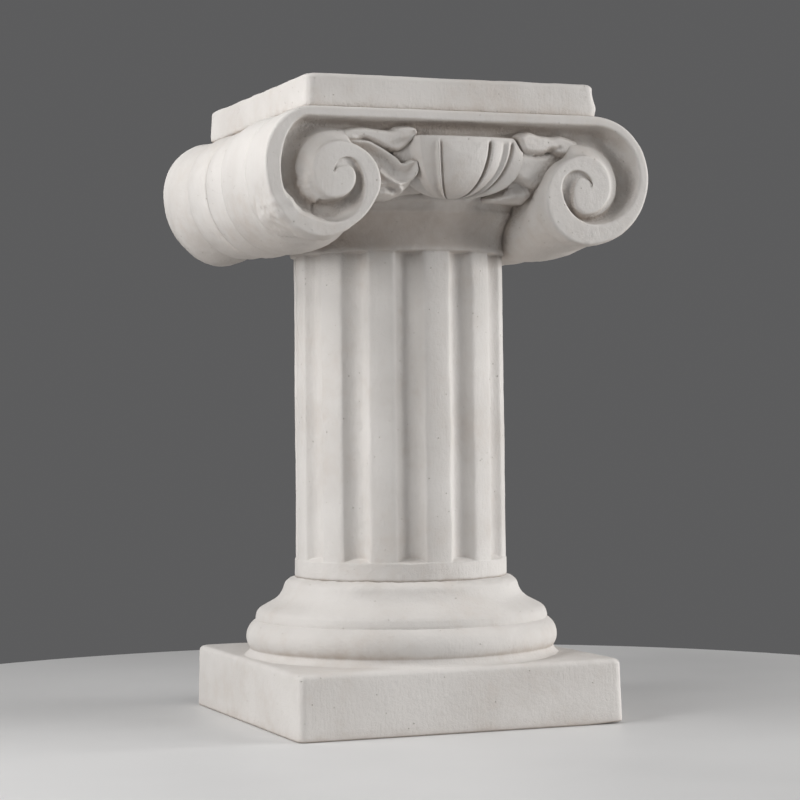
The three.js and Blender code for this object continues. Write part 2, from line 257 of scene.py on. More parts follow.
def make_piece(name, patches, finish, flaws=casting_lumps):
    """Welds grids into one closed mesh, lifts its points along their normals by the flaws, keeps
    them inside the solid's box, and hands the piece to the frame. Each patch is a grid and whether
    its last column meets the first."""
    points = []
    faces = []
    count = 0
    for grid, closed in patches:
        rows, columns = grid.shape[:2]
        faces.append(grid_faces(rows, columns, closed, count))
        points.append(grid.reshape(-1, 3))
        count += rows * columns
    mesh = bpy.data.meshes.new(name)
    mesh.from_pydata(np.concatenate(points), [], np.concatenate(faces))
    shell = bmesh.new()
    shell.from_mesh(mesh)
    bmesh.ops.remove_doubles(shell, verts=shell.verts, dist=WELD_GAP)
    bmesh.ops.dissolve_degenerate(shell, edges=shell.edges, dist=SHORTEST_EDGE)
    bmesh.ops.recalc_face_normals(shell, faces=shell.faces)
    shell.to_mesh(mesh)
    shell.free()
    size = len(mesh.vertices)
    spot = np.empty(size * 3)
    lift = np.empty(size * 3)
    mesh.vertices.foreach_get("co", spot)
    mesh.vertex_normals.foreach_get("vector", lift)
    spot = spot.reshape(-1, 3)
    spot += lift.reshape(-1, 3) * flaws(spot)[:, None]
    spot = np.clip(spot, LOW / UNIT, HIGH / UNIT)
    mesh.vertices.foreach_set("co", (spot * UNIT).ravel())
    mesh.polygons.foreach_set("use_smooth", np.ones(len(mesh.polygons), dtype=bool))
    mesh.materials.append(finish)
    mesh.update()
    piece = bpy.data.objects.new(name, mesh)
    bpy.context.scene.collection.objects.link(piece)
    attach(piece, BODY)
    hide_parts(NODE)
    return piece


def rounded_square(side_steps, corner_steps):
    """Unit walk round a rounded square: for each step, a place on the square between the corner
    centres and the direction from there to the outline."""
    along = np.linspace(-1.0, 1.0, side_steps, endpoint=False)
    turn = np.radians(np.linspace(0.0, 90.0, corner_steps, endpoint=False))
    place = []
    way = []
    for quarter in range(4):
        c = round(math.cos(quarter * math.pi / 2))
        s = round(math.sin(quarter * math.pi / 2))
        spin = np.array([[c, s], [-s, c]])
        side = np.stack([np.ones_like(along), along], -1) @ spin
        side_way = np.tile(np.array([1.0, 0.0]) @ spin, (side_steps, 1))
        corner = np.tile(np.array([1.0, 1.0]) @ spin, (corner_steps, 1))
        corner_way = np.stack([np.cos(turn), np.sin(turn)], -1) @ spin
        place += [side, corner]
        way += [side_way, corner_way]
    return np.concatenate(place), np.concatenate(way)


def slab_grid(profile, half_y_extra, corner, side_steps, corner_steps):
    """Rings of rounded squares: each profile point gives half the ring's width and its height."""
    place, way = rounded_square(side_steps, corner_steps)
    half_x, z = profile[:, 0, None], profile[:, 1, None]
    round_off = np.minimum(corner, half_x)
    half_y = np.where(half_x > 0.0, half_x + half_y_extra * half_x / profile[:, 0].max(), 0.0)
    x = place[None, :, 0] * (half_x - round_off) + way[None, :, 0] * round_off
    y = place[None, :, 1] * (half_y - round_off) + way[None, :, 1] * round_off
    return np.stack([x, y, np.broadcast_to(z, x.shape)], -1)


def lathe_grid(radius, z, angles):
    """Rings round the axis. radius holds one value for each ring and angle; angle 0 faces -Y."""
    level = np.broadcast_to(z[:, None], radius.shape)
    return np.stack([radius * np.sin(angles), -radius * np.cos(angles), level], -1)


# ---------------------------------------------------------------- plinth and base

def plinth(finish):
    """Square block: rounded-square rings along a profile that runs from the middle of the underside
    round both edges to the middle of the top."""
    foot_x = PLINTH_BOTTOM - PLINTH_FOOT_EDGE
    low_edge = arc((foot_x, PLINTH_FOOT_EDGE), PLINTH_FOOT_EDGE, -90.0, 0.0, 6)
    high_edge = arc((PLINTH_TOP - PLINTH_EDGE, PLINTH_HEIGHT - PLINTH_EDGE), PLINTH_EDGE, 0.0, 90.0, 9)
    side_z = np.linspace(PLINTH_FOOT_EDGE, PLINTH_HEIGHT - PLINTH_EDGE, 24)[1:-1]
    side_x = np.interp(side_z, [0.0, PLINTH_HEIGHT], [PLINTH_BOTTOM, PLINTH_TOP])
    under = np.linspace((0.0, 0.0), (foot_x, 0.0), 12)[:-1]
    over = np.linspace((PLINTH_TOP - PLINTH_EDGE, PLINTH_HEIGHT), (0.0, PLINTH_HEIGHT), 36)[1:]
    profile = np.concatenate([under, low_edge, np.stack([side_x, side_z], -1), high_edge, over])
    grid = slab_grid(profile, 0.0, PLINTH_CORNER, 96, 7)

    def flaws(points):
        x, _, z = points.T
        soft = casting_lumps(points) * smoothstep(z, 0.2, 2.5)
        sag = -0.35 * hump(x, 10.0, 60.0) * smoothstep(z, 38.0, 42.0)
        return soft + sag

    lifted = smoothstep(grid[..., 0] - grid[..., 1], 196.0, 226.0) * (1.0 - grid[..., 2] / PLINTH_HEIGHT)
    grid[..., 2] += PLINTH_LIFT * lifted
    return make_piece("plinth", [(grid, True)], finish, flaws)


def moulded_base(finish):
    """Turned rings: a torus on the plinth, a narrow upright band, a hollow and a lip under the shaft."""
    under = [(0.0, BASE_LOW), (BASE_CORE, BASE_LOW)]
    torus = arc(TORUS_CENTRE, TORUS_RADIUS, -38.0, 62.0, 30)
    over = [(BASE_CORE, SHAFT_BOTTOM), (0.0, SHAFT_BOTTOM)]
    profile = np.concatenate([under, smooth_line(BASE_FILLET, 4), torus, smooth_line(BASE_LINE, 5), over])
    angles = np.radians(np.arange(0.0, 360.0, 1.0))
    radius = np.repeat(profile[:, :1], len(angles), axis=1)
    grid = lathe_grid(radius, profile[:, 1], angles)

    def flaws(points):
        x, y, level = points.T
        turn = np.degrees(np.arctan2(x, -y))
        smear = 0.9 * hump(turn, -41.0 + 3.0 * noise(points, 6.0), 5.0) * hump(level, 91.0, 4.5)
        ragged = 0.45 * noise(points, 3.6, 2.0) * hump(level, 93.5, 1.6)
        fillet = 0.5 * noise(points, 12.0, 4.0) * smoothstep(level, 47.0, 43.5)
        return casting_lumps(points) + smear + ragged + fillet

    return make_piece("moulded_base", [(grid, True)], finish, flaws)


# ---------------------------------------------------------------- shaft and neck

def flute_depth(angles, z):
    """Depth of the flutes on each ring and angle. Across a flute the depth rises steeply at the
    arris and levels out on the floor; a sloping sill ends it below and the neck's lip above."""
    number = np.floor(angles / FLUTE_PITCH)
    centre = (number + 0.5) * FLUTE_PITCH
    level = np.repeat(z[:, None], len(angles), axis=1)
    waver = np.stack([np.broadcast_to(number * 37.0, level.shape), np.full_like(level, 11.0), level], -1)
    across = (angles - centre)[None, :] * SHAFT_RADIUS + 0.35 * noise(waver, 30.0)
    half = FLUTE_HALF + 0.35 * noise(waver, 22.0, 4.0) + 0.25 * noise(waver, 8.0, 9.0)
    inward = soft_floor(half - np.abs(across), ARRIS_SOFTNESS) / FLUTE_HALF
    wall = (1.0 - np.clip(1.0 - inward, 0.0, 1.0) ** 2.3) ** 0.9
    scoop = SILL_SCOOP * np.clip(inward, 0.0, 1.0) ** 2
    sill = np.clip((level + scoop - SILL_LOW) / (SILL_HIGH - SILL_LOW), 0.0, 1.0)
    crown = np.clip((SHAFT_TOP + CROWN_OVERLAP - level) / CROWN_LENGTH, 0.0, 1.0)
    ends = np.minimum(sill, crown)
    depth = FLUTE_DEPTH * FLUTE_SHARES[number.astype(int) % FLUTE_COUNT]
    return depth * (wall + ends - np.sqrt((wall - ends) ** 2 + SOFT_CORNER)) * 0.5


def shaft_and_neck(finish):
    """Turned rings from the shaft's foot to the bowl under the scrolls, less the flutes."""
    step = np.linspace(-1.0, 1.0, 40, endpoint=False)
    bunched = step + 0.16 * np.sin(2.0 * math.pi * step)
    angles = ((np.arange(FLUTE_COUNT)[:, None] + 0.5 + 0.5 * bunched[None, :]) * FLUTE_PITCH).ravel()
    shaft_z = np.concatenate([
        np.linspace(SHAFT_BOTTOM, SILL_ROWS[0], 6)[:-1],
        np.linspace(SILL_ROWS[0], SILL_ROWS[1], 21)[:-1],
        np.linspace(SILL_ROWS[1], CROWN_ROWS, 84)[:-1],
        np.linspace(CROWN_ROWS, SHAFT_TOP, 7),
    ])
    neck = smooth_line(NECK_LINE, 5)
    shaft_radius = np.interp(shaft_z, [SHAFT_BOTTOM, SHAFT_TOP], [SHAFT_RADIUS, SHAFT_TOP_RADIUS])
    z = np.concatenate([[SHAFT_SINK, SHAFT_SINK], shaft_z, neck[:, 1], [BOWL_TOP]])
    radius = np.concatenate([[0.0, SHAFT_CORE], shaft_radius, neck[:, 0], [0.0]])
    fluted = flute_depth(angles, z) * ((z > SHAFT_BOTTOM) & (z < SHAFT_TOP + CROWN_OVERLAP))[:, None]
    grid = lathe_grid(radius[:, None] - fluted, z, angles)
    grid[[0, -1], :, :2] = 0.0

    def flaws(points):
        x, y, level = points.T
        turn = np.degrees(np.arctan2(x, -y))
        height = smoothstep(level, 112.0, 130.0) * smoothstep(level, 300.0, 285.0)
        pitted = hump(turn, -45.0, 7.0) * height
        pits = -0.5 * smoothstep(noise(points, 3.0, 2.0), 0.05, 0.6) * pitted
        joints = 0.45 * hump(level, SHAFT_TOP + 0.8, 1.8) + 0.4 * hump(level, 96.0, 1.6)
        ragged = noise(points, 3.4, 6.0) * joints
        crumbly = 0.2 * noise(points, 2.4, 1.5) + 0.2 * noise(points, 5.0, 9.5)
        coarse = crumbly * smoothstep(level, SHAFT_TOP, SHAFT_TOP + 3.0)
        seam = -0.22 * hump(turn, -34.0 + 0.4 * noise(points, 20.0), 0.5)
        seam = seam * smoothstep(level, 110.0, 118.0) * smoothstep(level, 309.0, 303.0)
        return casting_lumps(points) + pits + ragged + coarse + seam

    return make_piece("fluted_shaft", [(grid, True)], finish, flaws)


# ---------------------------------------------------------------- scrolls

def scroll_edge(q, corners, slack=None):
    """Place on a scroll's edge after q quarter turns. The corners are its highest, outermost, lowest
    and innermost points in turn, joined by quarter ellipses. Before q = 0 the edge runs level to
    the middle of the capital. slack names one quarter that is flatter than an ellipse."""
    corner = np.asarray(corners, dtype=float)
    turn = np.clip(q, 0.0, len(corner) - 1.0)
    k = np.minimum(np.floor(turn).astype(int), len(corner) - 2)
    angle = (turn - k) * math.pi / 2.0
    power = np.where(k == slack, 1.2, 1.0) if slack is not None else 1.0
    sine = np.sin(angle) ** power
    cosine = np.cos(angle) ** power
    a, b = corner[k], corner[k + 1]
    level = k % 2 == 0
    x = np.where(level, a[:, 0] + (b[:, 0] - a[:, 0]) * sine, b[:, 0] + (a[:, 0] - b[:, 0]) * cosine)
    z = np.where(level, b[:, 1] + (a[:, 1] - b[:, 1]) * cosine, a[:, 1] + (b[:, 1] - a[:, 1]) * sine)
    return np.stack([x * np.clip(1.0 + q, 0.0, 1.0), z], -1)


class Scroll:
    """One side's rolled sheet. Lines across the sheet run from the channel's floor over the rim."""

    def __init__(self, rim, channel, depths, slack=None):
        self.rim = rim
        self.channel = channel
        self.depths = depths
        self.slack = slack

    def channel_depth(self, q):
        """Full depth at first, then ever shallower to nothing at the hook's end."""
        closing = np.sqrt(np.clip((CHANNEL_END - q) / 0.2, 0.0, 1.0))
        knots = smooth_line(np.stack([np.arange(len(self.depths)), self.depths], -1), 12)
        return np.interp(q, knots[:, 0], knots[:, 1]) * closing

    def foot_depth(self, q):
        """Depth at which the channel's floor sweeps up into the wall of the next turn."""
        return FOOT_SHARE * self.channel_depth(q)

    def outer(self, q):
        return scroll_edge(q, self.rim, self.slack)

    def inner(self, q):
        return scroll_edge(q, self.channel)

    def spread(self, q):
        """How far and which way the foot of the wall round turn q stands outside the rim's edge."""
        run = self.outer(q) - self.inner(q)
        way = run / np.maximum(np.linalg.norm(run, axis=-1), 1e-6)[:, None]
        full = FLARE_LEAST + (FLARE_MOST - FLARE_LEAST) * smoothstep(q, 6.3, 4.9)
        deep = self.foot_depth(np.maximum(q - FULL_TURN, 0.0)) / self.foot_depth(np.zeros(1))
        return way * (full * deep * smoothstep(q, 3.74, 3.84))[:, None]

    def foot(self, q):
        """Foot of the next turn's wall. Before q = 0 it is the lower edge of the front channel, which
        runs to the middle of the capital at one height on both sides."""
        turn = np.maximum(q, 0.0) + FULL_TURN
        place = self.outer(turn) + self.spread(turn)
        x = place[:, 0] * np.clip(1.0 + q, 0.0, 1.0)
        z = place[:, 1] + (FRONT_FOOT - place[:, 1]) * smoothstep(-q, 0.0, 0.5)
        return np.stack([x, z], -1)

    def radii(self, q):
        """Width of the rim's face and the radii of its two edges."""
        run = self.outer(q) - self.inner(q)
        width = np.maximum(np.linalg.norm(run, axis=-1), 1e-6)
        wall = np.where(q > FULL_TURN, self.foot_depth(np.maximum(q - FULL_TURN, 0.0)), self.depths[0])
        outer = np.minimum(np.minimum(OUTER_EDGE, 0.35 * width), 0.7 * wall)
        inner = np.minimum(np.minimum(INNER_EDGE, 0.30 * width), 0.6 * self.channel_depth(q))
        return run / width[:, None], outer, inner

    def floor_lines(self, q, steps=12):
        """From the foot down to the floor and up the outer wall, as two quarters of an oval."""
        edge, foot = self.inner(q), self.foot(q)
        deep, rise, radius = self.channel_depth(q), self.foot_depth(q), self.radii(q)[2]
        lap = np.linspace(math.pi / 2.0, 0.0, steps)
        near = 0.46 + 0.54 * np.sin(lap)
        near_depth = rise[:, None] + (deep - rise)[:, None] * np.cos(lap)
        climb = np.linspace(math.pi / 2.0, 0.0, steps)[1:]
        far = 0.46 * (1.0 - np.cos(climb) ** 0.9)
        far_depth = radius[:, None] + (deep - radius)[:, None] * np.sin(climb) ** 0.9
        share = np.concatenate([near, far])
        depth = np.concatenate([near_depth, far_depth], axis=1)
        flat = edge[:, None] + (foot - edge)[:, None] * share[None, :, None]
        return flat, depth

    def rim_lines(self, q):
        """From the channel over the rounded inner edge, the face and the rounded outer edge."""
        way, outer, inner = self.radii(q)
        lap = np.linspace(0.0, math.pi / 2.0, 6)
        low = inner[:, None] * (1.0 - np.cos(lap))
        low_depth = inner[:, None] * (1.0 - np.sin(lap))
        high = outer[:, None] * (1.0 - np.sin(lap))
        high_depth = outer[:, None] * (1.0 - np.cos(lap))
        a, b = self.outer(q), self.inner(q)
        start = b[:, None] + way[:, None] * low[..., None]
        end = a[:, None] - way[:, None] * high[..., None]
        part = np.linspace(0.0, 1.0, 8)[1:-1]
        face = start[:, -1:] + (end[:, :1] - start[:, -1:]) * part[None, :, None]
        crown = np.zeros((len(q), len(part)))
        return (
            np.concatenate([start, face, end], axis=1),
            np.concatenate([low_depth, crown, high_depth], axis=1),
        )


def waist(q, y, side):
    """How far the bolster's skin is drawn in. Along the bolster, from back to front: a fat end roll,
    a lower roll, a band between two incised lines, a long barrel and a front roll behind the rim.
    Underneath, the skin sags below the rims and fills out towards the neck: window says where along
    the bolster it does, and notch draws it in near the rims."""
    line = smooth_line(BOLSTER_LINE, 8)
    low = hump(q, 1.9, 0.7)
    high = hump(q, 0.35, 0.45)
    skin = np.interp(y, line[:, 0], line[:, 1])
    valley = 0.8 * low * hump(y, 69.0, 9.0)
    slack = 1.3 * high * smoothstep(y, MIDDLE_LINE - 1.0, MIDDLE_LINE + 1.0)
    cuts = sum(depth * hump(y, line_y, width) for line_y, depth, width in CUTS)
    cuts = cuts + 1.4 * hump(y, FRONT_LINE, 0.8) * smoothstep(q, 2.2, 1.4)
    tail = -2.3 * hump(y, 99.0, 14.0) * low
    skin = skin + valley + slack + cuts + tail
    sag = 3.6 * hump(q, 1.95, 0.5) + 7.0 * hump(q, 2.5, 0.36)  # lowest point, and beside the neck
    if side > 0:
        window = smoothstep(np.abs(y), 104.0, 58.0)
        notch = 1.6 * hump(np.abs(y), 99.0, 7.0) * hump(q, 2.05, 0.5)
    else:
        window = smoothstep(y, -104.0, -58.0) * (0.42 + 0.58 * smoothstep(y, 66.0, 8.0))
        notch = 2.2 * hump(y, -102.0, 8.0) * hump(q, 2.1, 0.45)
    return skin * smoothstep(q, -0.12, 0.02) * smoothstep(q, 3.6, 3.0) + notch - sag * window


def bolster_rows(reach):
    """Places of the rows along a bolster: evenly spread ones, closer ones across the worn patch, and
    a few on both sides of each incised line."""
    step = np.array([0.45, 0.9, 1.4, 2.2, 3.2])
    around = np.concatenate([-step[::-1], [0.0], step])
    rows = [np.linspace(-reach, reach, 49), np.arange(-reach, PATCH_BACK, ROW_STEP)]
    rows += [line_y + around for line_y in (FRONT_LINE, MIDDLE_LINE, BACK_LINE, END_LINE)]
    places = np.unique(np.concatenate(rows))
    return places[np.diff(places, prepend=places[0] - 1.0) > ROW_GAP]


def quarter_turns(first, last, stride=1):
    """Every turn q between two whole quarters, or every few of them."""
    return np.arange(first * QUARTER_STEPS, last * QUARTER_STEPS + 1, stride) * (1.0 / QUARTER_STEPS)


def scroll_patches(scroll, side):
    """Grids of one half of the capital's rolled sheet, for the right (side 1) or left (side -1)."""
    edge_rows = np.linspace(0.0, 1.0, 8)
    deepest = float(scroll.foot_depth(np.zeros(1))[0])
    middle = bolster_rows(FACE - deepest)

    def place(flat, y):
        x, z = flat[..., 0] * side, flat[..., 1]
        return np.stack([x, np.broadcast_to(y, x.shape), z], -1)

    def both_faces(flat, depth):
        return place(flat, -(FACE - depth)), place(flat, FACE - depth)

    def wall_lines(q, wall):
        """From the rim's rounded edge to the wall's foot, sloping more and more outwards."""
        radius = scroll.radii(q)[1]
        depth = radius[:, None] + (wall - radius)[:, None] * edge_rows[None, :]
        slope = edge_rows**1.7
        return scroll.outer(q)[:, None] + scroll.spread(q)[:, None] * slope[None, :, None], depth

    def roll(q):
        """Lines from the front channel's foot over the rim, along the bolster and over the back rim."""
        floor, floor_deep = scroll.floor_lines(q)
        rim, rim_deep = scroll.rim_lines(q)
        edge = scroll.outer(q)
        wall, wall_deep = wall_lines(q, np.full(len(q), deepest))
        flat = np.concatenate([floor, rim, wall], axis=1)
        deep = np.concatenate([floor_deep, rim_deep, wall_deep], axis=1)
        front, back = both_faces(flat, deep)
        centre = np.array(ROLL_CENTRE)
        inward = centre - edge
        inward /= np.linalg.norm(inward, axis=-1)[:, None]
        draw = waist(q[:, None], middle[None, 1:-1], side)
        skin = (edge + scroll.spread(q))[:, None] + inward[:, None] * draw[..., None]
        body = place(skin, middle[None, 1:-1])
        return np.concatenate([front, body, back[:, ::-1]], axis=1)

    level = quarter_turns(-1, 0, 4)
    under = place(np.repeat(scroll.foot(level)[:, None], len(middle) - 2, axis=1), middle[None, 1:-1])
    beam = np.concatenate([roll(level), under[:, ::-1]], axis=1)
    patches = [(beam, True), (roll(quarter_turns(0, FULL_TURN)), False)]
    q = quarter_turns(FULL_TURN, RIM_END)
    rim, rim_deep = scroll.rim_lines(q)
    wall, wall_deep = wall_lines(q, scroll.foot_depth(q - FULL_TURN))
    flat = np.concatenate([rim, wall], axis=1)
    spiral = both_faces(flat, np.concatenate([rim_deep, wall_deep], axis=1))
    hook = both_faces(*scroll.floor_lines(quarter_turns(FULL_TURN, CHANNEL_END)))
    return patches + [(face, False) for face in spiral + hook]


def worn_patch(points):
    """The skin of plaster that laps over the front of the left bolster: its ragged lip, the groove
    behind the lip and the pits in it."""
    x, y, z = points.T
    left = x < LEFT_SIDE
    beside = 1.0 - smoothstep(-y, FACE - 5.0, FACE - 1.0)
    turn = np.degrees(np.arctan2(PATCH_CENTRE[0] - x, PATCH_CENTRE[1] - z))
    ragged = 1.6 * noise(points, 5.0, 4.4) + 0.8 * noise(points, 2.2, 1.1)
    limit = np.interp(turn, PATCH_TURN, PATCH_EDGE) + ragged
    lap = smoothstep(y, limit + 0.8, limit - 0.8) * smoothstep(turn, 63.0, 38.0) * left
    thick = 1.7 + 0.45 * noise(points, 6.0, 1.0) + 0.22 * noise(points, 2.6, 2.0)
    groove = -1.0 * hump(y, limit + 2.2, 1.3) * hump(turn, 28.0, 24.0) * left
    rough = smoothstep(y, PATCH_BACK, PATCH_BACK - 10.0) * hump(turn, 42.0, 26.0) * left * beside
    pits = -0.8 * smoothstep(noise(points, 2.5, 3.3), 0.25, 0.7) + 0.3 * noise(points, 3.3, 8.8)
    return lap * thick * beside + groove + pits * rough


def scroll_flaws(points):
    """Lumps, the worn patch, a scuff and a small blob on the left rim's face, roughness underneath,
    and room left inside the solid's box."""
    x, y, z = points.T
    face = smoothstep(-y, FACE - 5.0, FACE - 1.0)
    scuff = smoothstep(np.hypot(x - SCUFF_PLACE[0], z - SCUFF_PLACE[1]), 20.0, 9.0) * face
    blob = 1.5 * face * hump(np.hypot(x - BLOB_PLACE[0], z - BLOB_PLACE[1]), 0.0, 2.8)
    rough = 0.22 * noise(points, 3.2, 7.0) + 0.12 * noise(points, 1.7, 2.0)
    under = rough * smoothstep(z, 335.0, 318.0)
    face_room = -SKIN * smoothstep(np.abs(y), 112.0, 117.0)
    side_room = -SKIN * smoothstep(np.abs(x), 126.0, 131.0)
    local = worn_patch(points) + scuff * (noise(points, 6.0, 6.1) - 0.6) + blob + under
    return casting_lumps(points) + local + np.minimum(face_room, side_room)


def scrolls(finish):
    """The capital's rolled sheet: a right and a left roll that meet in the middle."""
    right = scroll_patches(Scroll(RIGHT_RIM, RIGHT_CHANNEL, RIGHT_DEPTHS), 1)
    left = scroll_patches(Scroll(LEFT_RIM, LEFT_CHANNEL, LEFT_DEPTHS, slack=2), -1)
    return make_piece("scrolls", right + left, finish, scroll_flaws)


# ---------------------------------------------------------------- abacus

def abacus(finish):
    """Flat square slab with rounded edges and a narrow joint under it."""
    inset = ABACUS_X - 2.4
    joint = [
        (inset, ABACUS_CORE), (inset, 396.6),
        (ABACUS_X - 1.1, 397.6), (ABACUS_X - 0.2, 399.0), (ABACUS_X, 401.4),
    ]
    top = PATTERN_HEIGHT - SKIN
    edge_x = ABACUS_X - ABACUS_TAPER - ABACUS_EDGE
    side = np.linspace((ABACUS_X, 403.0), (ABACUS_X - ABACUS_TAPER, 416.0), 10)
    top_edge = arc((edge_x, top - ABACUS_EDGE), ABACUS_EDGE, 0.0, 90.0, 9)
    over = np.linspace((edge_x, top), (0.0, top), 30)[1:]
    under = np.linspace((0.0, ABACUS_CORE), (inset, ABACUS_CORE), 16)[:-1]
    profile = np.concatenate([under, smooth_line(joint, 3), side, top_edge, over])
    grid = slab_grid(profile, ABACUS_Y - ABACUS_X, ABACUS_CORNER, 96, 11)

    def flaws(points):
        x, y, z = points.T
        wavy = 0.35 * noise(points * np.array([1.0, 1.0, 0.3]), 16.0, 2.2) * smoothstep(z, 408.0, 417.0)
        flat = smoothstep(np.maximum(np.abs(x), np.abs(y) - 4.0), 92.0, 99.0)
        chipped = smoothstep(x, 95.0, 101.0) * (0.8 * hump(z, 404.5, 3.0) - 0.9 * hump(z, 414.5, 5.0))
        return casting_lumps(points) + wavy * flat + chipped

    return make_piece("abacus", [(grid, True)], finish, flaws)


# ---------------------------------------------------------------- egg band and leaves

SIDE_NAMES = {1: "front", -1: "back"}
EGG_TOP = 380.0
EGG_DROP = 37.3
EGG_LEFT = 44.0
EGG_RIGHT = 45.5
EGG_BACK = 93.4
EGG_BULGE = 24.2
BAND_BEHIND = 74.0
BAND_MIDDLE = 362.0
LEDGE = 99.0
PANEL_X = 86.0
PANEL_LOW = 341.5
PANEL_HIGH = 390.0
PANEL_BACK = 94.0


def egg_relief(s):
    """Height of the carving across the band, from the egg outwards: the egg's full round, a groove,
    a shell, a second groove and a broad outer band. s is the distance from the middle line. The
    egg's left edge is a thin raised bead."""
    egg = 1.3 * np.sqrt(np.clip(1.0 - ((s - 2.0) / 17.5) ** 2, 0.0, 1.0))
    bead = 1.7 * hump(s, -16.6, 1.1) - 1.2 * hump(s, -14.6, 1.0)
    groove = -2.6 * hump(s, 19.9, 1.25) + 0.9 * smoothstep(s, 20.0, 22.5) * smoothstep(s, 31.0, 24.0)
    shell = -0.9 * hump(s, 30.5, 1.4) + 0.9 * hump(s, 34.0, 1.0) - 2.2 * hump(s, 36.8, 1.2)
    left = -0.5 * hump(s, -21.0, 3.0)
    return egg + bead + groove + shell + left


def egg_band(finish, facing):
    """Bowl-shaped boss with an egg and its shells. Meridians at a distance s from the middle line all
    run down to one tip; the outline narrows as the cosine of the way down, and so does the reach."""
    s = np.linspace(-EGG_LEFT, EGG_RIGHT, 180)
    down = np.linspace(math.pi / 2.0, 0.0, 60)
    fall = np.cos(down)[:, None]
    x = s[None, :] * fall**0.8
    top = EGG_TOP - 8.0 * smoothstep(s, 37.5, 45.5)[None, :] * fall**2
    z = top - EGG_DROP * np.sin(down)[:, None]
    y = EGG_BACK + EGG_BULGE * fall - 7.0 * (s[None, :] / 43.0) ** 2 * fall
    below_brow = smoothstep(-z, 0.6 - EGG_TOP, 3.5 - EGG_TOP)
    relief = egg_relief(s)[None, :] * np.clip(fall * 2.4, 0.0, 1.0) * below_brow
    y = y + relief * fall - 6.5 * smoothstep(-s, 27.0, 33.0)[None, :] * fall
    z = z - relief * np.sin(down)[:, None]
    lap = np.linspace(0.0, math.pi / 2.0, 6)[1:, None]
    brow_z = z[-1] + 1.3 * np.sin(lap)
    brow_y = y[-1] - 1.8 * (1.0 - np.cos(lap))
    ledge_y = np.stack([np.full_like(s, LEDGE), np.full_like(s, BAND_BEHIND)])
    ledge_z = np.stack([z[-1] + 1.0, np.full_like(s, BAND_MIDDLE)])
    rows_x = np.concatenate([x, np.repeat(x[-1:], 7, axis=0)])
    rows_y = np.concatenate([y, brow_y, ledge_y])
    rows_z = np.concatenate([z, brow_z, ledge_z])
    front = np.stack([rows_x, rows_y, rows_z], -1)
    middle = np.array([0.0, BAND_BEHIND, BAND_MIDDLE])
    core = np.broadcast_to(middle, front[:, :1].shape)
    closed = np.concatenate([core, front, core], axis=1)
    last = np.broadcast_to(middle, closed[:1].shape)
    grid = np.concatenate([closed, last]) * np.array([1.0, -facing, 1.0])
    return make_piece(f"egg_band_{SIDE_NAMES[facing]}", [(grid, False)], finish)


# Each lobe: its outline, how far its crown stands out, how wide its rounded edge is, how its crown
# leans along x and z, and how much its middle is hollowed.
LOBES = [
    dict(crown=111.0, edge=3.6, lean=(0.03, 0.28), outline=[
        (-80, 378.5), (-76.5, 383.8), (-66, 386.2), (-55, 385.4), (-46, 385), (-42, 387.3),
        (-35, 388.2), (-29, 387.2), (-26.6, 383), (-29.5, 377.5), (-35.5, 372.5), (-41, 370.5),
        (-47, 371.4), (-55, 374.6), (-64, 377.4), (-74, 374.5),
    ]),
    dict(crown=109.0, edge=2.6, lean=(0.05, 0.08), hollow=3.4, outline=[
        (-79, 377), (-63, 378.2), (-55, 375.6), (-48, 372), (-40.5, 367.4), (-37.3, 364.6),
        (-31.6, 367), (-27, 366.3), (-25.6, 362), (-26, 357.5), (-29.4, 352.5), (-36, 349),
        (-46, 348), (-59, 350), (-68, 362),
    ]),
    dict(crown=104.5, edge=5.0, lean=(0.0, 0.12), outline=[
        (-54, 358), (-44, 355), (-34, 356), (-28.3, 356), (-30, 349.7), (-35, 344.6),
        (-39.5, 341.8), (-45, 340.3), (-53, 340.4), (-58, 346),
    ]),
    dict(crown=110.5, edge=4.6, lean=(-0.12, 0.16), outline=[
        (40, 381), (43, 385.2), (50, 387), (57, 385.4), (66, 384.7), (73, 385.4), (81, 383.6),
        (88, 380.5), (91, 374), (84, 367), (74, 370.5), (66, 373.4), (59.7, 371), (49.8, 370.9),
        (44, 373),
    ]),
    dict(crown=106.0, edge=6.0, lean=(-0.22, 0.10), outline=[
        (42, 374.5), (53, 373.5), (62, 374), (70, 375.5), (86, 374.5), (78, 363), (69, 353),
        (58, 350), (46, 353.4), (40, 355.6), (36, 360), (37, 368),
    ]),
    dict(crown=99.5, edge=5.5, lean=(0.0, 0.1), outline=[
        (26, 344.2), (34, 348.2), (41, 350.4), (53, 352.5), (57, 347.8), (53.6, 341.6),
        (41, 338.8), (31, 339),
    ]),
]

# Ridges (and grooves, with a negative height) drawn along lines on the lobes.
RIDGES = [
    dict(line=[(-27, 383), (-30.5, 377), (-36.5, 372.6), (-41, 371)], height=1.5, width=1.2),
    dict(line=[(-31.5, 381.5), (-36, 377), (-44, 375)], height=-1.2, width=2.4),
    dict(height=0.9, width=1.0,
         line=[(-72, 378.6), (-62, 377), (-55, 375), (-48, 371.6), (-40.5, 367), (-37.3, 364.4)]),
    dict(line=[(-27, 365.5), (-26.2, 361), (-27.2, 356.5), (-30, 353.4)], height=1.1, width=1.3),
    dict(height=3.0, width=1.9,
         line=[(-52.5, 357.5), (-48, 354), (-44.4, 351.6), (-39.9, 348.8), (-36.5, 345.6)]),
    dict(line=[(-47.5, 349.5), (-43.5, 347.2), (-40, 344.4)], height=-1.2, width=1.6),
    dict(line=[(-43.5, 352.4), (-38, 351.8), (-33, 352.8), (-29, 355)], height=-1.6, width=1.2),
    dict(line=[(56, 371.2), (62, 372), (67, 374.4), (72, 376.4)], height=-1.5, width=1.4),
    dict(line=[(42.5, 381.5), (46, 384.6)], height=0.9, width=2.2),
]


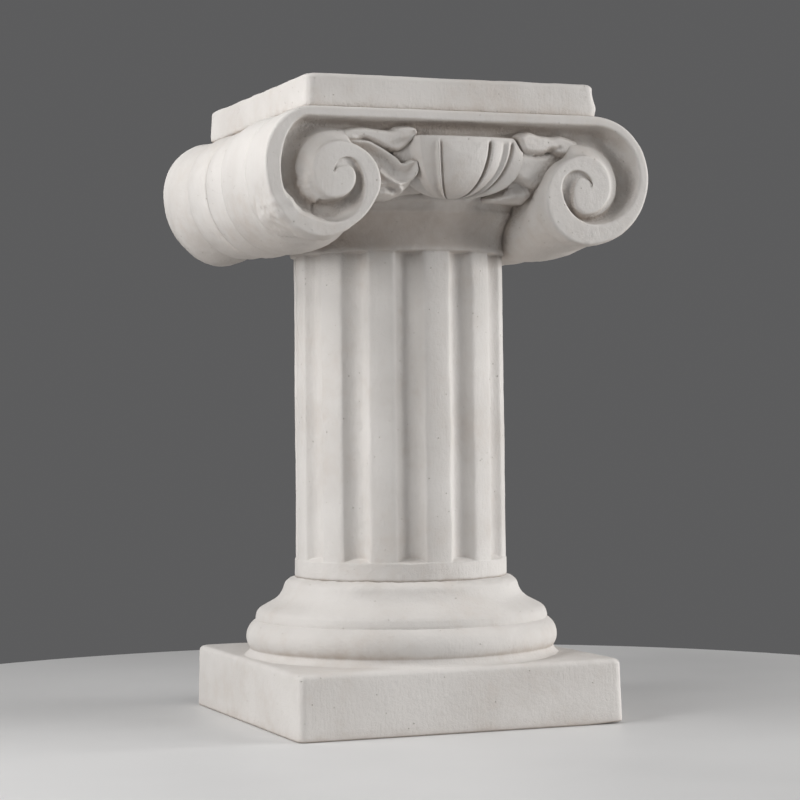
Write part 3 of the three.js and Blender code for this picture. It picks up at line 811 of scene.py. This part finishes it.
def line_distance(points, line, closed):
    """Distance from each point to the nearest place on a line of straight pieces, and for a closed
    line whether the point is inside: how many pieces a ray along x crosses, odd or even."""
    start = line if closed else line[:-1]
    end = np.roll(line, -1, axis=0) if closed else line[1:]
    span = end - start
    gap = points[..., None, :] - start
    share = np.clip((gap * span).sum(-1) / np.maximum((span * span).sum(-1), 1e-9), 0.0, 1.0)
    near = np.linalg.norm(gap - share[..., None] * span, axis=-1).min(axis=-1)
    z = points[..., None, 1]
    crosses = (start[:, 1] > z) != (end[:, 1] > z)
    rise = np.where(np.abs(span[:, 1]) < 1e-9, 1e-9, span[:, 1])
    at = start[:, 0] + (z - start[:, 1]) / rise * span[:, 0]
    inside = (crosses & (points[..., None, 0] < at)).sum(-1) % 2 == 1
    return near, inside


def lobe_reach(points, ground, outline, crown, edge, lean, hollow=0.0):
    """Reach of one lobe over the ground: a quarter-round edge, then a leaning and hollowed crown."""
    ring = smooth_line(outline, 5, closed=True)
    near, inside = line_distance(points, ring, True)
    middle = ring.mean(axis=0)
    rise = np.sqrt(np.clip(1.0 - (1.0 - np.clip(near / edge, 0.0, 1.0)) ** 2, 0.0, 1.0))
    top = crown + (points - middle) @ np.array(lean) - hollow * smoothstep(near, edge * 0.6, edge + 5.0)
    return np.where(inside, ground + (top - ground) * rise, ground - 2.0)


def leaf_panel(finish, facing):
    """Carved ground between the scrolls with its leaves: the reach is worked out at each x and z as
    the soft greatest of the ground and the lobes, plus the ridges."""
    columns, rows = 312, 98
    x = np.linspace(-PANEL_X, PANEL_X, columns)
    z = np.linspace(PANEL_LOW, PANEL_HIGH, rows)
    flat = np.stack(np.meshgrid(x, z), -1)
    ground = PANEL_BACK + 6.0 * smoothstep(np.abs(flat[..., 0]), 30.0, 44.0)
    ground = ground - 20.0 * np.clip((353.0 - flat[..., 1]) / 11.5, 0.0, 1.0) ** 2
    reach = ground
    for lobe in LOBES:
        other = lobe_reach(flat, ground, **lobe)
        reach = 0.5 * (reach + other + np.sqrt((reach - other) ** 2 + 0.25))
    for ridge in RIDGES:
        near, _ = line_distance(flat, smooth_line(ridge["line"], 5), False)
        reach = reach + ridge["height"] * hump(near, 0.0, ridge["width"])
    spot = np.stack([flat[..., 0], reach, flat[..., 1]], -1)
    low = smoothstep(ground + 9.0 - reach, 0.0, 8.0)
    broken = smoothstep(flat[..., 1], 358.0, 346.0) * smoothstep(np.abs(flat[..., 0]), 22.0, 30.0)
    reach = reach + 0.5 * noise(spot, 1.9, 3.0) * low + 0.12 * noise(spot, 2.4, 5.0)
    reach = reach + (1.1 * noise(spot, 5.5, 7.0) + 0.4 * noise(spot, 2.2, 2.0)) * broken
    front = np.stack([flat[..., 0], reach, flat[..., 1]], -1)
    around = np.concatenate([front[0, :-1], front[:-1, -1], front[-1, :0:-1], front[:0:-1, 0]])
    back = around.copy()
    back[:, 1] = BAND_BEHIND - 4.0
    middle = np.broadcast_to(np.array([0.0, BAND_BEHIND - 4.0, 365.0]), back.shape)
    way = np.array([1.0, -facing, 1.0])
    patches = [(front * way, False), (np.stack([around, back, middle]) * way, True)]
    return make_piece(f"leaves_{SIDE_NAMES[facing]}", patches, finish)


# ---------------------------------------------------------------- finish

# colours of the plaster as linear red, green and blue: its two tones, its stains and pinholes, and
# painted shade for undersides, hollows, narrow creases and the neck
PALE = (0.668, 0.645, 0.622, 1.0)
DULL = (0.617, 0.592, 0.567, 1.0)
STAINED = (0.575, 0.52, 0.475, 1.0)
UNDERSIDE_SHADE = (0.52, 0.46, 0.41, 1.0)
HOLLOW_SHADE = (0.42, 0.355, 0.305, 1.0)
NARROW_SHADE = (0.35, 0.31, 0.275, 1.0)
NECK_SHADE = (0.43, 0.37, 0.325, 1.0)
PINHOLE = (0.33, 0.28, 0.24, 1.0)


class Wire:
    """A shader socket that arithmetic can be done with. Each sum or product adds its Math node."""

    def __init__(self, recipe, socket):
        self.recipe = recipe
        self.socket = socket

    def maths(self, operation, *values):
        return self.recipe.node("Math", {"operation": operation}, dict(enumerate(values)))

    def __add__(self, other):
        return self.maths("ADD", self, other)

    def __sub__(self, other):
        return self.maths("SUBTRACT", self, other)

    def __rsub__(self, other):
        return self.maths("SUBTRACT", other, self)

    def __mul__(self, other):
        return self.maths("MULTIPLY", self, other)

    __radd__ = __add__
    __rmul__ = __mul__

    def ramp(self, low, high):
        """0 below low and 1 above high, eased between them; low may be the larger."""
        sockets = {"Value": self, "From Min": low, "From Max": high}
        return self.recipe.node("MapRange", {"interpolation_type": "SMOOTHSTEP"}, sockets)


class Recipe:
    """The node tree of one finish."""

    def __init__(self, name):
        self.material = bpy.data.materials.new(name)
        self.material.use_nodes = True
        self.tree = self.material.node_tree
        self.tree.nodes.clear()
        self.place = self.node("TexCoord", {}, {}, "Object")

    def node(self, kind, settings, sockets, out=0):
        """Adds a node of this kind with its settings, and a number or a wire for each socket."""
        node = self.tree.nodes.new("ShaderNode" + kind)
        for key, value in settings.items():
            setattr(node, key, value)
        for key, value in sockets.items():
            if isinstance(value, Wire):
                self.tree.links.new(value.socket, node.inputs[key])
            else:
                node.inputs[key].default_value = value
        return Wire(self, node.outputs[out]) if node.outputs else None

    def split(self, vector):
        """The x, y and z of a vector."""
        return [self.node("SeparateXYZ", {}, {"Vector": vector}, axis) for axis in ("X", "Y", "Z")]

    def speckle(self, size, detail=3.0, rough=0.55, vector=None):
        """Cloudy noise from 0 to 1 with blotches of about this size, in millimetres."""
        sockets = {"Vector": vector or self.place, "Scale": 1.0 / (size * UNIT)}
        return self.node("TexNoise", {}, sockets | {"Detail": detail, "Roughness": rough})

    def hollow(self, distance):
        """How much of the view from the surface is blocked within a distance, in millimetres."""
        return 1.0 - self.node("AmbientOcclusion", {"samples": 8}, {"Distance": distance * UNIT}, 1)

    def mix(self, factor, a, b):
        """Colour a where the factor is 0 and b where it is 1."""
        return self.node("Mix", {"data_type": "RGBA"}, {0: factor, 6: a, 7: b}, 2)

    def bump(self, height, distance, under):
        """Normals as if the surface stood up by height times distance, in millimetres, on top of
        the bumps under it."""
        sockets = {"Height": height, "Distance": distance * UNIT, "Strength": 1.0}
        if under:
            sockets["Normal"] = under
        return self.node("Bump", {}, sockets)

    def surface(self, sockets):
        """Sets the material's surface and returns the finished material."""
        shader = self.node("BsdfPrincipled", {}, sockets)
        self.node("OutputMaterial", {}, {"Surface": shader})
        return self.material


def plaster_colour(recipe, place, facing, cloud, mottle, wide, holes):
    """Two cloudy tones with layers over them: faint stains, painted shade on the undersides, painted
    shade in the hollows and in narrow creases and joints, painted shade round the neck under the capital,
    and dark pinholes. The painted shade in hollows and creases leaves out faces that look up."""
    x, y, z = place
    not_facing_up = facing.ramp(0.75, 0.3)
    # painted shade in narrow creases, cracks and joints: occlusion within 2.6 mm plus noise, kept off
    # faces that look up
    narrow_shade = recipe.hollow(2.6) * 1.5 + (recipe.speckle(2.0) - 0.5) * 0.5
    # painted shade on the neck under the capital's overhang, on the left and in the middle
    around = (x * x + y * y).ramp(8500.0, 7000.0) * x.ramp(60.0, 10.0)
    neck = around * z.ramp(309.0, 316.0) * z.ramp(350.0, 334.0)
    layers = [
        ((cloud * 0.6 + mottle * 0.4).ramp(0.5, 0.7) * 0.4, STAINED),
        # painted shade: faces that look down are darker, mottled
        ((facing * -1.0 + (mottle - 0.5) * 0.8).ramp(0.15, 0.9) * 0.45, UNDERSIDE_SHADE),
        # painted shade in wide hollows, from occlusion within 16 mm, kept off faces that look up
        ((wide * 1.25 + (mottle - 0.5) * 0.5).ramp(0.22, 0.95) * not_facing_up * 0.6, HOLLOW_SHADE),
        (narrow_shade.ramp(0.28, 0.8) * not_facing_up * 0.5, NARROW_SHADE),
        (neck * (0.45 + mottle * 0.4), NECK_SHADE),
        (holes * 0.5, PINHOLE),
    ]
    colour = recipe.mix(cloud.ramp(0.35, 0.65), PALE, DULL)
    for share, layer in layers:
        colour = recipe.mix(share, colour, layer)
    return colour


def plaster_relief(recipe, z, facing, wide, holes):
    """Bumps one over another: fine grain, small lumps, file strokes in patches, crumbs in the carved
    hollows of the capital, and pinholes."""
    carved = wide.ramp(0.18, 0.5) * facing.ramp(0.75, 0.3) * z.ramp(309.0, 316.0)
    patchy = 0.5 + recipe.speckle(11.0).ramp(0.42, 0.62)
    along = {"Vector": recipe.place, "Rotation": (0.35, 0.2, 0.5), "Scale": (1.0, 1.0, 0.16)}
    strokes = recipe.speckle(1.6, 2.0, 0.5, recipe.node("Mapping", {}, along))
    layers = [
        (recipe.speckle(0.9, 4.0, 0.7), 0.18),
        (recipe.speckle(3.2), 0.34),
        (strokes * recipe.speckle(25.0).ramp(0.35, 0.65), 0.26),
        (recipe.speckle(1.5, 3.0, 0.65) * (carved * patchy + 0.08), 1.2),
        (1.0 - holes, 0.7),
    ]
    normals = None
    for height, distance in layers:
        normals = recipe.bump(height, distance, normals)
    return normals


def plaster_finish():
    """Matte warm white gypsum plaster."""
    recipe = Recipe("cast_plaster")
    place = [part * (1.0 / UNIT) for part in recipe.split(recipe.place)]
    facing = recipe.split(recipe.node("NewGeometry", {}, {}, "Normal"))[2]
    cloud = recipe.speckle(60.0)
    mottle = recipe.speckle(9.0)
    wide = recipe.hollow(16.0)
    spacing = {"Vector": recipe.place, "Scale": 1.0 / (6.5 * UNIT)}
    cells = recipe.node("TexVoronoi", {"feature": "F1"}, spacing)
    holes = cells.ramp(0.085, 0.045) * recipe.speckle(14.0).ramp(0.40, 0.58)
    return recipe.surface({
        "Base Color": plaster_colour(recipe, place, facing, cloud, mottle, wide, holes),
        "Roughness": 0.62 + mottle * 0.22,
        "Normal": plaster_relief(recipe, place[2], facing, wide, holes),
        "IOR": 1.45,
        "Specular IOR Level": 0.35,
    })


def floor_finish():
    """Pale painted board with the faintest cloudiness."""
    recipe = Recipe("pale_floor")
    tone = recipe.speckle(300.0).ramp(0.3, 0.7)
    colour = recipe.mix(tone, (0.70, 0.70, 0.70, 1.0), (0.65, 0.65, 0.65, 1.0))
    return recipe.surface({"Base Color": colour, "Roughness": 0.5})


# ---------------------------------------------------------------- stage

FLOOR_RADIUS = 520.0
FLOOR_GAP = 0.02  # between the plinth's underside and the floor
FLOOR_DROP = 12.0  # at the rim

# lights, in metres, degrees and watts
LAMP_TARGET = (0.0, 0.0, 0.24)
LAMP_COLOUR = (1.0, 0.99, 0.98)
SKY_COLOUR = (0.108, 0.108, 0.11, 1.0)

# azimuth (0 in front, 90 to the right), elevation, distance, size and power
LAMPS = {
    "left_side": (-105.0, 5.0, 1.7, 0.45, 6.8),
    "left_high": (-90.0, 45.0, 1.0, 0.35, 4.4),
    "left_front": (-60.0, 15.0, 0.9, 0.3, 2.8),
    "front": (0.0, 40.0, 1.7, 0.6, 2.2),
    "right_front": (50.0, 5.0, 1.7, 0.45, 6.0),
    "right_high": (55.0, 30.0, 1.0, 0.35, 2.2),
    "right_side": (75.0, 5.0, 1.7, 0.45, 15.2),
}

# the camera's angles in degrees, its distance from the axis and its height, and its lens
EYE = dict(azimuth=-21.21, roll=-0.62, pitch=0.368, yaw=0.027)
EYE_DISTANCE = 1611.77
EYE_HEIGHT = 203.52
LENS = 106.15
SENSOR = 36.0


def floor(finish):
    """Round floor: rings of points that drop a little at the rim."""
    rings = np.linspace(0.0, 1.0, 24)[:, None] ** 1.5 * FLOOR_RADIUS
    turn = np.radians(np.arange(0.0, 360.0, 4.0))[None, :]
    x = rings * np.sin(turn)
    z = np.full_like(x, -FLOOR_GAP)
    z[-1] = -FLOOR_DROP
    grid = np.stack([x, rings * np.cos(turn), z], -1) * UNIT
    mesh = bpy.data.meshes.new("floor")
    mesh.from_pydata(grid.reshape(-1, 3), [], grid_faces(*x.shape, True)[:, ::-1])
    mesh.materials.append(finish)
    board = bpy.data.objects.new("floor", mesh)
    bpy.context.scene.collection.objects.link(board)


def soft_light(name, azimuth, elevation, distance, size, power):
    """Square area light on a sphere round its target, a little above the column's middle."""
    lamp = bpy.data.lights.new(name, "AREA")
    lamp.shape = "SQUARE"
    lamp.size = size
    lamp.energy = power
    lamp.color = LAMP_COLOUR
    a, e = math.radians(azimuth), math.radians(elevation)
    way = Vector((math.sin(a) * math.cos(e), -math.cos(a) * math.cos(e), math.sin(e)))
    lamp_object = bpy.data.objects.new(name, lamp)
    lamp_object.location = Vector(LAMP_TARGET) + way * distance
    lamp_object.rotation_euler = (-way).to_track_quat("-Z", "Y").to_euler()
    bpy.context.scene.collection.objects.link(lamp_object)


def studio():
    """Soft lights, three on each side and one in front, under a dim grey sky."""
    for name, setting in LAMPS.items():
        soft_light(name, *setting)
    world = bpy.data.worlds.new("studio")
    world.use_nodes = True
    sky = world.node_tree.nodes["Background"]
    sky.inputs["Color"].default_value = SKY_COLOUR
    sky.inputs["Strength"].default_value = 1.0
    bpy.context.scene.world = world
    bpy.context.scene.view_settings.view_transform = "Standard"


def turned(a, b, angle):
    """Two directions turned together in their plane, a towards b."""
    return a * math.cos(angle) + b * math.sin(angle), b * math.cos(angle) - a * math.sin(angle)


def camera():
    """Camera level with the column's middle, a little to the left, at a long focal length."""
    azimuth, roll, pitch, yaw = (math.radians(EYE[key]) for key in ("azimuth", "roll", "pitch", "yaw"))
    up = Vector((0.0, 0.0, 1.0))
    ahead = Vector((-math.sin(azimuth), math.cos(azimuth), 0.0))
    right = Vector((math.cos(azimuth), math.sin(azimuth), 0.0))
    place = (up * EYE_HEIGHT - ahead * EYE_DISTANCE) * UNIT
    ahead, right = turned(ahead, right, yaw)
    ahead, up = turned(ahead, up, pitch)
    right, up = turned(right, up, roll)
    turn = Matrix((right, up, -ahead)).transposed().to_4x4()
    lens = bpy.data.cameras.new("camera")
    lens.lens = LENS
    lens.sensor_width = SENSOR
    eye = bpy.data.objects.new("camera", lens)
    eye.matrix_world = Matrix.Translation(place) @ turn
    bpy.context.scene.collection.objects.link(eye)
    bpy.context.scene.camera = eye


def build():
    """The nine pieces of the cast, then the floor, the lights and the camera."""
    plaster = plaster_finish()
    plinth(plaster)
    moulded_base(plaster)
    shaft_and_neck(plaster)
    scrolls(plaster)
    abacus(plaster)
    for facing in (1, -1):
        egg_band(plaster, facing)
        leaf_panel(plaster, facing)
    floor(floor_finish())
    studio()
    camera()


build()
